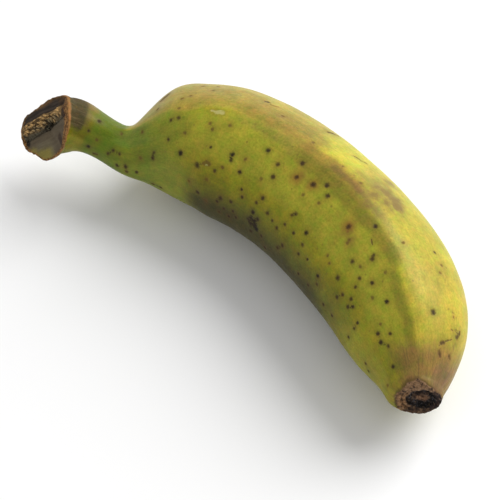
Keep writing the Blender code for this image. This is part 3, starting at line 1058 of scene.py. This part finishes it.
def makePeel():
    material, tree, shader = startMaterial("waxyBananaPeel", peel)
    shader.inputs["IOR"].default_value = peel["ior"]
    straightMm = addNode(tree, "Attribute", output="Vector", attribute_name="straight")
    objectPlace = addNode(tree, "TexCoord", output="Object")
    stretch = (1, 1, 1 / peel["fibreStretch"])
    along = addNode(tree, "Mapping", {"Vector": straightMm, "Scale": stretch})
    patterns = {}
    for name, place, scale, detail, roughness in (
        ("blotch", straightMm, 1 / peel["blotchMm"], 4.0, 0.6),
        ("hue", objectPlace, 1000 / peel["hueMm"], 4.0, 0.7),
        ("speckle", straightMm, 1 / peel["speckleMm"], 3.0, 0.7),
        ("fibre", along, 1 / peel["fibreMm"], 2.0, 0.5),
        ("breaks", straightMm, 1 / peel["edgeBreakMm"], 4.0, 0.65),
        ("wobble", objectPlace, 1000 / peel["markWobbleMm"], 2.0, 0.5),
        ("pores", straightMm, 1 / peel["poreMm"], 3.0, 0.5),
    ):
        waves = {"Vector": place, "Scale": scale, "Detail": detail, "Roughness": roughness}
        patterns[name] = addNode(tree, "TexNoise", waves)

    # colour zones from the neck to the tip, then the tints of the patterns over them
    zones = {**peelZones, **peelEndZones}
    colour = layZones(tree, zones, peel["green"], patterns["breaks"], 0.5)
    for name, low, high in (
        ("blotch", (0.84, 0.86, 0.85, 1), (1.16, 1.14, 1.1, 1)),
        ("hue", (0.86, 1.03, 0.85, 1), (1.16, 0.97, 1.15, 1)),
        ("speckle", (0.80, 0.83, 0.74, 1), (1.20, 1.17, 1.26, 1)),
        ("fibre", (0.95, 0.95, 0.95, 1), (1.05, 1.05, 1.05, 1)),
    ):
        tint = addNode(tree, "ValToRGB", {0: patterns[name]})
        for stop, position, value in zip(tint.node.color_ramp.elements, (0.32, 0.68), (low, high)):
            stop.position = position
            stop.color = value
        colour = addNode(tree, "VectorMath", {0: colour, 1: tint}, operation="MULTIPLY")

    cells = addNode(tree, "TexVoronoi", {"Vector": straightMm, "Scale": 1 / peel["freckleMm"]}, "Distance")
    reached = {}
    for name, value, low, high, least, most in (
        ("streaks", patterns["fibre"], 0.5, 0.66, 0, 0.45),
        ("dot", cells, 0.18, 0.05, 0, 0.5),
        ("pale", "markDark", -0.3, -0.5, 0, 1),
        ("strength", "markDark", 0, 1, 0.55, 0.95),
        ("sheen", patterns["breaks"], 0.3, 0.7, peel["roughness"] - 0.05, peel["roughness"] + 0.08),
    ):
        reach = {"Value": value, "From Min": low, "From Max": high, "To Min": least, "To Max": most}
        reached[name] = addNode(tree, "MapRange", reach)

    # the collar has dried in streaks, and so has the tip
    collarStreaks = addNode(tree, "Math", {0: reached["streaks"], 1: "collar"}, operation="MULTIPLY")
    tipStreaks = addNode(tree, "Math", {0: reached["streaks"], 1: "tip"}, operation="MULTIPLY")

    # freckles: a dot in about half of the cells
    chance = addNode(tree, "SeparateColor", {0: cells.node.outputs["Color"]})
    some = addNode(tree, "Math", {0: chance, 1: 0.5}, operation="GREATER_THAN")
    freckled = addNode(tree, "Math", {0: reached["dot"], 1: some}, operation="MULTIPLY")

    # stains, broken up by the speckles and the noise of the zones' edges
    rough = {0: patterns["speckle"], 1: 0.9, 2: patterns["breaks"]}
    rough = addNode(tree, "Math", rough, operation="MULTIPLY_ADD")
    stained = addNode(tree, "Math", {0: "stain", 1: 1.1, 2: rough}, operation="MULTIPLY_ADD")
    reach = {"Value": stained, "From Min": 0.95, "From Max": 1.75}
    stained = addNode(tree, "MapRange", reach, interpolation_type="SMOOTHSTEP")

    # marks, drawn from the offset to the nearest one
    offset = addNode(tree, "Attribute", output="Vector", attribute_name="markOffset")
    exact = addNode(tree, "VectorMath", {0: offset}, "Value", operation="LENGTH")
    coarse = addNode(tree, "Math", {0: "markDistance", 1: peel["markCore"]}, operation="SUBTRACT")
    distance = addNode(tree, "Math", {0: exact, 1: coarse}, operation="MAXIMUM")
    share = addNode(tree, "Math", {0: distance, 1: "markRadius"}, operation="DIVIDE")
    share = addNode(tree, "Math", {0: patterns["wobble"], 1: 1.2, 2: share}, operation="MULTIPLY_ADD")
    reach = {"Value": share, "From Min": 2.1, "From Max": 0.9}
    mark = addNode(tree, "MapRange", reach, interpolation_type="SMOOTHSTEP")
    ink = {0: "markDark", 6: peel["markBrown"], 7: peel["markBlack"]}
    ink = addNode(tree, "Mix", ink, 2, data_type="RGBA")
    ink = addNode(tree, "Mix", {0: reached["pale"], 6: ink, 7: peel["markPale"]}, 2, data_type="RGBA")
    inked = addNode(tree, "Math", {0: mark, 1: reached["strength"]}, operation="MULTIPLY")

    for cover, tint in (
        (collarStreaks, peel["collarStreak"]),
        (tipStreaks, peel["tipStreak"]),
        (freckled, peel["freckle"]),
        (stained, peel["stain"]),
        ("markHalo", peel["halo"]),
        ("markBlush", peel["blush"]),
        (inked, ink),
    ):
        colour = addNode(tree, "Mix", {0: cover, 6: colour, 7: tint}, 2, data_type="RGBA")
    tree.links.new(colour, shader.inputs["Base Color"])

    # sheen: marks, the collar and the skin round the scar are dry
    dry = addNode(tree, "Math", {0: "collar", 1: mark}, operation="MAXIMUM")
    dry = addNode(tree, "Math", {0: dry, 1: "scarHalo"}, operation="MAXIMUM")
    sheen = {0: dry, 1: peel["dryer"], 2: reached["sheen"]}
    sheen = addNode(tree, "Math", sheen, operation="MULTIPLY_ADD")
    tree.links.new(sheen, shader.inputs["Roughness"])

    # bump: pores, fibres, and marks slightly sunk
    rise = {0: patterns["fibre"], 1: 1.5, 2: patterns["pores"]}
    rise = addNode(tree, "Math", rise, operation="MULTIPLY_ADD")
    rise = addNode(tree, "Math", {0: mark, 1: peel["markDepth"], 2: rise}, operation="MULTIPLY_ADD")
    bump = addNode(tree, "Bump", {"Height": rise, "Distance": peel["poreHeightMm"] * mm, "Strength": 1.0})
    tree.links.new(bump, shader.inputs["Normal"])
    return material


# Cut stalk of the banana, dried: matt, brown to black, with a crumbly golden bundle of fibres
# across it, a dark split beside that, and a rim of shrunken peel.
stalkCut = {
    "flesh": "#46352a",
    "breaksMm": 1.2,
    # gaps between the crumbs: partly their own dark colour, partly painted shade
    "crumbGapShade": "#2a2016",
    "crumbMm": 0.6,
    "caught": "#7d7a66",
    "greyCrumb": "#8f8468",
    "greyPatchMm": 1.6,
    "layerDark": "#1d1b1a",
    "layerMm": 0.7,
    "layerStretch": 8.0,
    "rim": "#b0824a",
    "rimDark": "#5c3d20",
    "roughness": 0.85,
    "specular": 0.2,
    "grainMm": 0.35,
    "grainHeightMm": 0.12,
}


def makeStalkCut():
    material, tree, shader = startMaterial("driedStalkFibres", stalkCut)
    objectPlace = addNode(tree, "TexCoord", output="Object")
    cutPlace = addNode(tree, "Attribute", output="Vector", attribute_name="cutPlace")
    stretch = (1, 1 / stalkCut["layerStretch"], 1)
    stretched = addNode(tree, "Mapping", {"Vector": cutPlace, "Scale": stretch})
    patterns = {}
    for name, place, scale, detail, roughness in (
        ("breaks", objectPlace, 1000 / stalkCut["breaksMm"], 4.0, 0.7),
        ("layers", stretched, 1 / stalkCut["layerMm"], 3.0, 0.5),
        ("grey", cutPlace, 1 / stalkCut["greyPatchMm"], 3.0, 0.5),
        ("crumbs", cutPlace, 1 / stalkCut["crumbMm"], 3.0, 0.65),
        ("grain", objectPlace, 1000 / stalkCut["grainMm"], 3.0, 0.5),
    ):
        waves = {"Vector": place, "Scale": scale, "Detail": detail, "Roughness": roughness}
        patterns[name] = addNode(tree, "TexNoise", waves)
    colour = layZones(tree, cutZones, stalkCut["flesh"], patterns["breaks"], 0.7)

    place = addNode(tree, "SeparateXYZ", {0: cutPlace})
    reached = {}
    for name, value, low, high, least, most in (
        ("layered", patterns["layers"], 0.42, 0.60, 0.7, 0.0),
        ("upper", "darkLayers", 0, 1, 0.25, 1.0),
        ("gaps", "crumbs", 0.5, 0.1, 0, 0.9),
        ("between", patterns["crumbs"], 0.53, 0.42, 0, 0.7),
        ("caught", patterns["crumbs"], 0.52, 0.64, 0, 0.7),
        ("wide", place.node.outputs["Y"], -1.0, -7.0, 0, 0.17),
        ("lower", place, 7.0, 4.0, 0, 1),
        ("rim", patterns["crumbs"], 0.44, 0.62, 0, 1),
    ):
        reach = {"Value": value, "From Min": low, "From Max": high, "To Min": least, "To Max": most}
        reached[name] = addNode(tree, "MapRange", reach)

    # thin layers along the fibres, darkest in the zone of dark layers
    layered = {0: reached["layered"], 1: reached["upper"]}
    layered = addNode(tree, "Math", layered, operation="MULTIPLY")

    # the crumbs are greyer in places, and towards the split
    grey = addNode(tree, "Math", {0: place, 1: -0.1, 2: patterns["grey"]}, operation="MULTIPLY_ADD")
    grey = addNode(tree, "MapRange", {"Value": grey, "From Min": 0.2, "From Max": 0.42, "To Max": 0.85})
    grey = addNode(tree, "Math", {0: grey, 1: "bundle"}, operation="MULTIPLY")

    # dark colour and painted shade in the gaps between the crumbs, and pale crumbs caught in the split
    between = {0: reached["between"], 1: reached["gaps"]}
    between = addNode(tree, "Math", between, operation="MAXIMUM")
    between = addNode(tree, "Math", {0: between, 1: "bundle"}, operation="MULTIPLY")
    caught = addNode(tree, "Math", {0: reached["caught"], 1: "splitDarkAndShade"}, operation="MULTIPLY")

    # rim of dried peel, wider at the side towards the fruit
    wide = addNode(tree, "Math", {0: reached["wide"], 1: reached["lower"]}, operation="MULTIPLY")
    edge = addNode(tree, "Math", {0: place.node.outputs["Z"], 1: wide}, operation="ADD")
    edge = addNode(tree, "Math", {0: reached["lower"], 1: 0.05, 2: edge}, operation="MULTIPLY_ADD")
    edge = addNode(tree, "Math", {0: patterns["breaks"], 1: 0.22, 2: edge}, operation="MULTIPLY_ADD")
    edge = addNode(tree, "MapRange", {"Value": edge, "From Min": 1.05, "From Max": 1.13})
    rim = {0: reached["rim"], 6: stalkCut["rimDark"], 7: stalkCut["rim"]}
    rim = addNode(tree, "Mix", rim, 2, data_type="RGBA")

    for cover, tint in (
        (layered, stalkCut["layerDark"]),
        (grey, stalkCut["greyCrumb"]),
        (between, stalkCut["crumbGapShade"]),
        (caught, stalkCut["caught"]),
        (edge, rim),
    ):
        colour = addNode(tree, "Mix", {0: cover, 6: colour, 7: tint}, 2, data_type="RGBA")
    tree.links.new(colour, shader.inputs["Base Color"])

    rise = {0: patterns["layers"], 1: 1.5, 2: patterns["grain"]}
    rise = addNode(tree, "Math", rise, operation="MULTIPLY_ADD")
    rise = addNode(tree, "Math", {0: patterns["crumbs"], 1: 1.5, 2: rise}, operation="MULTIPLY_ADD")
    bump = addNode(tree, "Bump", {"Height": rise, "Distance": stalkCut["grainHeightMm"] * mm})
    tree.links.new(bump, shader.inputs["Normal"])
    return material


# Flower scar: dry, corky and matt, brown ridges round a dark hollow with a small nub in it.
cork = {
    "base": "#4a372b",
    "breaksMm": 1.1,
    "dark": "#17100d",
    "pale": "#a48769",
    # grey painted highlights in the hollow of the scar
    "trenchGlint": "#5f5c60",
    "trenchGlintMm": 0.8,
    "ridgeMm": 0.9,
    "grainMm": 0.3,
    "grainHeightMm": 0.15,
    "roughness": 0.8,
    "specular": 0.25,
}


def makeCork():
    material, tree, shader = startMaterial("corkyFlowerScar", cork)
    objectPlace = addNode(tree, "TexCoord", output="Object")
    patterns = {}
    for name, size, detail, roughness in (
        ("breaks", cork["breaksMm"], 4.0, 0.7),
        ("ridges", cork["ridgeMm"], 4.0, 0.65),
        ("trenchGlint", cork["trenchGlintMm"], 2.0, 0.5),
        ("grain", cork["grainMm"], 3.0, 0.5),
    ):
        waves = {"Vector": objectPlace, "Scale": 1000 / size, "Detail": detail, "Roughness": roughness}
        patterns[name] = addNode(tree, "TexNoise", waves)
    colour = layZones(tree, scarZones, cork["base"], patterns["breaks"], 0.8)

    # painted shade in the grooves, then dark and pale ridges, then grey painted highlights in the hollow
    layers = [(addNode(tree, "Math", {0: "grooveShade", 1: 0.7}, operation="MULTIPLY"), cork["dark"])]
    for name, low, high, most, tint in (
        ("ridges", 0.50, 0.36, 0.85, cork["dark"]),
        ("ridges", 0.54, 0.68, 0.5, cork["pale"]),
        ("trenchGlint", 0.52, 0.66, 0.6, cork["trenchGlint"]),
    ):
        reach = {"Value": patterns[name], "From Min": low, "From Max": high, "To Max": most}
        cover = addNode(tree, "MapRange", reach)
        if name == "trenchGlint":
            cover = addNode(tree, "Math", {0: cover, 1: "scarTrenchDarkAndShade"}, operation="MULTIPLY")
        layers.append((cover, tint))
    for cover, tint in layers:
        colour = addNode(tree, "Mix", {0: cover, 6: colour, 7: tint}, 2, data_type="RGBA")
    tree.links.new(colour, shader.inputs["Base Color"])

    rise = {0: patterns["ridges"], 1: 2.5, 2: patterns["grain"]}
    rise = addNode(tree, "Math", rise, operation="MULTIPLY_ADD")
    bump = addNode(tree, "Bump", {"Height": rise, "Distance": cork["grainHeightMm"] * mm})
    tree.links.new(bump, shader.inputs["Normal"])
    return material


def dressFruit():
    for material in (makePeel(), makeStalkCut(), makeCork()):
        banana.data.materials.append(material)
    for polygon in banana.data.polygons:
        corners = list(polygon.vertices)
        if height[corners].mean() < 0:
            polygon.material_index = 1
        elif scarReach[corners].mean() < 1:
            polygon.material_index = 2


dressFruit()
print("materials made")


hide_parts("banana")
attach(banana, "root")


# Pale paper floor and soft studio light, in metres and watts.
studio = {
    "floorSize": 6.0,
    "floorColour": (0.94, 0.94, 0.94, 1),
    "roughness": 0.9,
    "specular": 0.5,
    "worldStrength": 0.54,
    "keyPlace": (0.25, 0.95, 0.85),
    "keyAim": (0, 0, 0.02),
    "keySize": 1.1,
    "keyPower": 19,
}


def lightStudio():
    bpy.ops.mesh.primitive_plane_add(size=studio["floorSize"], location=(0, 0, cadBox[0].z))
    floor = bpy.context.object
    floor.name = "floor"
    material, tree, shader = startMaterial("palePaper", studio)
    shader.inputs["Base Color"].default_value = studio["floorColour"]
    floor.data.materials.append(material)

    world = bpy.data.worlds.new("studio")
    world.use_nodes = True
    background = world.node_tree.nodes["Background"]
    background.inputs["Color"].default_value = (1, 1, 1, 1)
    background.inputs["Strength"].default_value = studio["worldStrength"]
    bpy.context.scene.world = world

    bpy.ops.object.light_add(type="AREA", location=studio["keyPlace"])
    key = bpy.context.object
    key.data.shape = "DISK"
    key.data.size = studio["keySize"]
    key.data.energy = studio["keyPower"]
    aim = Vector(studio["keyAim"]) - key.location
    key.rotation_euler = aim.to_track_quat("-Z", "Y").to_euler()


lightStudio()
bpy.context.scene.view_settings.view_transform = "Standard"
print("studio lit")
